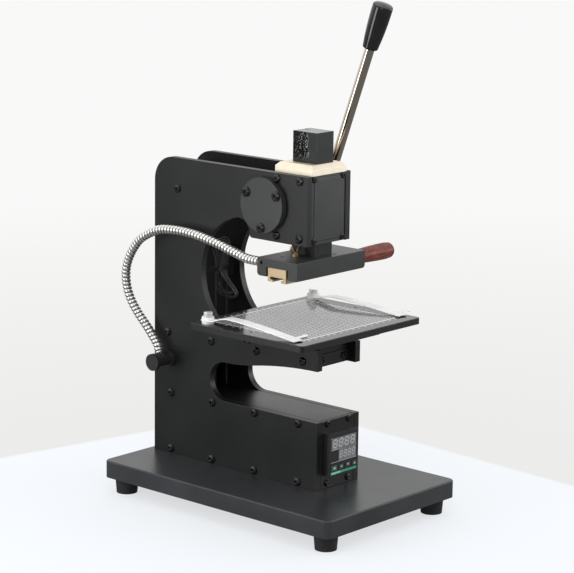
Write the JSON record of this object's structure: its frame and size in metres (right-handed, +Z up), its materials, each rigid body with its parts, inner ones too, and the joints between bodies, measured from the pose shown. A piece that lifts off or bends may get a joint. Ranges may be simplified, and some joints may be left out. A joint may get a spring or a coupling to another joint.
{
  "type": "hot foil stamping machine",
  "caption": "Bench hot foil stamping press: heated ram on a rack and lever, brass die holder, printed sliding table with hold-down strips and a temperature controller.",
  "frame": {"origin": "on the standing surface under the middle of the base plate", "axes": "+Z up, the front with the controller and the table faces -Y, +X is to the right seen from the front, towards the lever"},
  "size_m": [0.248, 0.3666, 0.5696],
  "materials": {
    "black_coat": "satin black powder coat",
    "base_coat": "satin charcoal coat",
    "rubber": "matt black",
    "zinc_steel": "bright steel",
    "dark_steel": "black oxide",
    "brass": "dull machined",
    "chrome": "plated",
    "gloss_black": "polished",
    "handle_red": "mottled red-brown",
    "stainless": "ribbed stainless hose",
    "white_nylon": "matt white",
    "black_plastic": "fine grain",
    "display": "dark window",
    "keys": "grey green"
  },
  "bodies": {
    "frame": {"base_plate": "base_coat", "rubber_feet": "rubber", "base_screws": "zinc_steel", "side_plate_left": "black_coat", "side_plate_right": "black_coat", "side_plate_screws": "dark_steel", "box_bottom_plate": "black_coat", "box_top_plate": "black_coat", "arm_plate": "black_coat", "arm_front_plate": "black_coat", "rear_spacer": "black_coat", "top_guide": "brass", "bottom_guide": "black_coat", "front_cover": "black_coat", "front_panel": "black_coat", "back_panel": "black_coat", "cover_screws": "dark_steel", "spring_housing": "black_coat", "return_spring": "zinc_steel", "shaft_bushes": "brass", "slide_rails": "zinc_steel", "slide_screws": "dark_steel", "controller_case": "black_plastic", "display_window": "display", "terminal_block": "black_plastic", "power_inlet": "black_plastic", "fuse_holder": "black_plastic", "switch_body": "black_plastic", "conduit_gland": "black_plastic", "heater_conduit": "stainless", "spare_lead": "black_plastic", "lead_tie": "black_plastic", "cable_grommets": "rubber", "box_wiring": "black_plastic"},
    "lever": {"lever_shaft": "zinc_steel", "drive_pinion": "zinc_steel", "lever_hub": "black_coat", "lever_rod": "chrome", "lever_knob": "gloss_black"},
    "ram": {"ram_bar": "black_coat", "heating_block": "black_coat", "heater_cartridges": "zinc_steel", "ram_screws": "zinc_steel", "conduit_ferrule": "brass"},
    "holder": {"die_holder": "brass", "holder_handle": "handle_red"},
    "wing": {"wing_screw": "brass"},
    "table": {"table_plate": "base_coat", "carriage_plate": "black_coat", "carriage_block": "black_coat", "table_screws": "dark_steel", "hold_down_strips": "white_nylon", "nylon_washers": "white_nylon"},
    "left_thumb": {"left_thumb_screw": "chrome"},
    "right_thumb": {"right_thumb_screw": "chrome"},
    "set": {"set_key": "keys"},
    "shift": {"shift_key": "keys"},
    "down": {"down_key": "keys"},
    "up": {"up_key": "keys"},
    "rocker": {"switch_rocker": "black_plastic"}
  },
  "joints": [
    {"name": "lever_swing", "type": "hinge", "parent": "frame", "child": "lever", "pos_m": [0, -0.009, 0.3485], "axis": [1, 0, 0], "range_deg": [0, 100], "stiffness_Nm_per_rad": 0.5, "springref_deg": -143.24, "deforming": ["return_spring"]},
    {"name": "ram_slide", "type": "slide", "parent": "frame", "child": "ram", "axis": [0, 0, -1], "range_m": [0, 0.0385], "deforming": ["heater_conduit"]},
    {"name": "holder_slide", "type": "slide", "parent": "ram", "child": "holder", "axis": [1, 0, 0], "range_m": [0, 0.1]},
    {"name": "wing_turn", "type": "hinge", "parent": "ram", "child": "wing", "pos_m": [-0.027, -0.046, 0.295], "axis": [0, 0, 1], "range_deg": [0, 180]},
    {"name": "table_slide", "type": "slide", "parent": "frame", "child": "table", "axis": [0, -1, 0], "range_m": [0, 0.09]},
    {"name": "left_thumb_turn", "type": "hinge", "parent": "table", "child": "left_thumb", "pos_m": [-0.088, 0.027, 0.225], "axis": [0, 0, 1], "range_deg": [-180, 180]},
    {"name": "right_thumb_turn", "type": "hinge", "parent": "table", "child": "right_thumb", "pos_m": [0.088, 0.027, 0.225], "axis": [0, 0, 1], "range_deg": [-180, 180]},
    {"name": "set_key_press", "type": "slide", "parent": "frame", "child": "set", "axis": [0, 1, 0], "range_m": [0, 0.0008], "stiffness_N_per_m": 500, "springref_m": -0.001},
    {"name": "shift_key_press", "type": "slide", "parent": "frame", "child": "shift", "axis": [0, 1, 0], "range_m": [0, 0.0008], "stiffness_N_per_m": 500, "springref_m": -0.001},
    {"name": "down_key_press", "type": "slide", "parent": "frame", "child": "down", "axis": [0, 1, 0], "range_m": [0, 0.0008], "stiffness_N_per_m": 500, "springref_m": -0.001},
    {"name": "up_key_press", "type": "slide", "parent": "frame", "child": "up", "axis": [0, 1, 0], "range_m": [0, 0.0008], "stiffness_N_per_m": 500, "springref_m": -0.001},
    {"name": "switch_rock", "type": "hinge", "parent": "frame", "child": "rocker", "pos_m": [0.009, 0.16, 0.1455], "axis": [1, 0, 0], "range_deg": [0, 18]}
  ],
  "couplings": [
    {"joint": "ram_slide", "follows": "lever_swing", "m_per_rad": 0.022}
  ]
}
